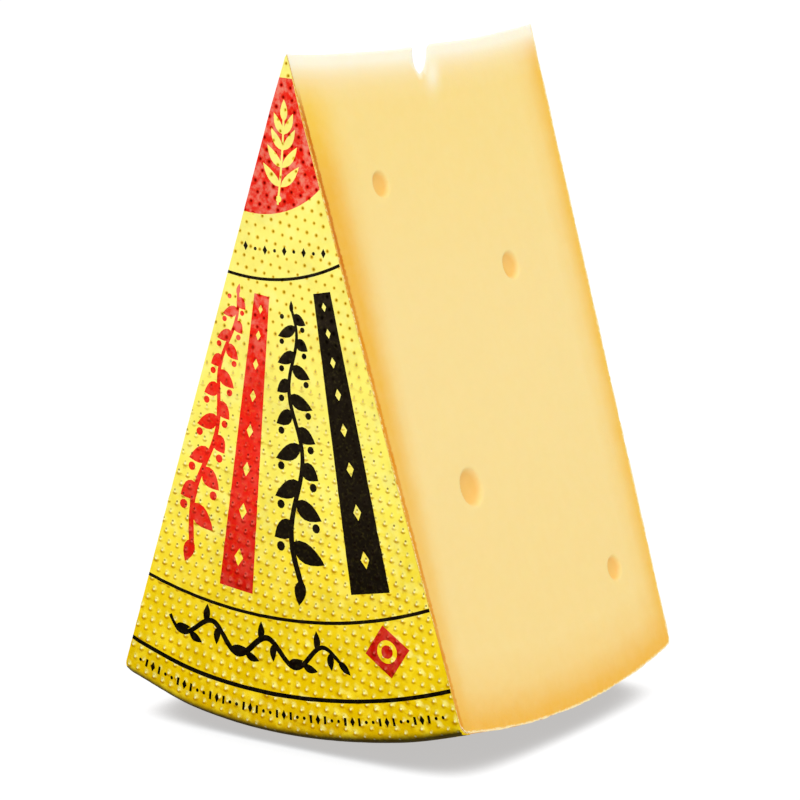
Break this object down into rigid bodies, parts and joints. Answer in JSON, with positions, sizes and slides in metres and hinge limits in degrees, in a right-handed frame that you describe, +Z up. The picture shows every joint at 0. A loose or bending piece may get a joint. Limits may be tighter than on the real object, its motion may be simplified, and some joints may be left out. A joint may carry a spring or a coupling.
{
  "type": "cheese wedge",
  "caption": "Upright wedge of hard yellow cheese with a few small eyes, pressed paste and a printed gold foil label on one flat side of the rind.",
  "frame": {"origin": "centre of the bounding box at its base, on the small flat spot of the heel that the wedge stands on", "axes": "+Z up, from the heel to the worn point; the wheel's axis runs along Y, and the foil label faces -Y; the cut faces look towards +X and -X"},
  "size_m": [0.0946, 0.0908, 0.1542],
  "materials": {
    "cheese_paste": "smooth cut paste, pale straw yellow, deeper orange-yellow close to the rind",
    "printed_foil": "embossed gold foil with red and black print"
  },
  "bodies": {
    "root": {"cheese": "cheese_paste", "label": "printed_foil"}
  },
  "joints": []
}
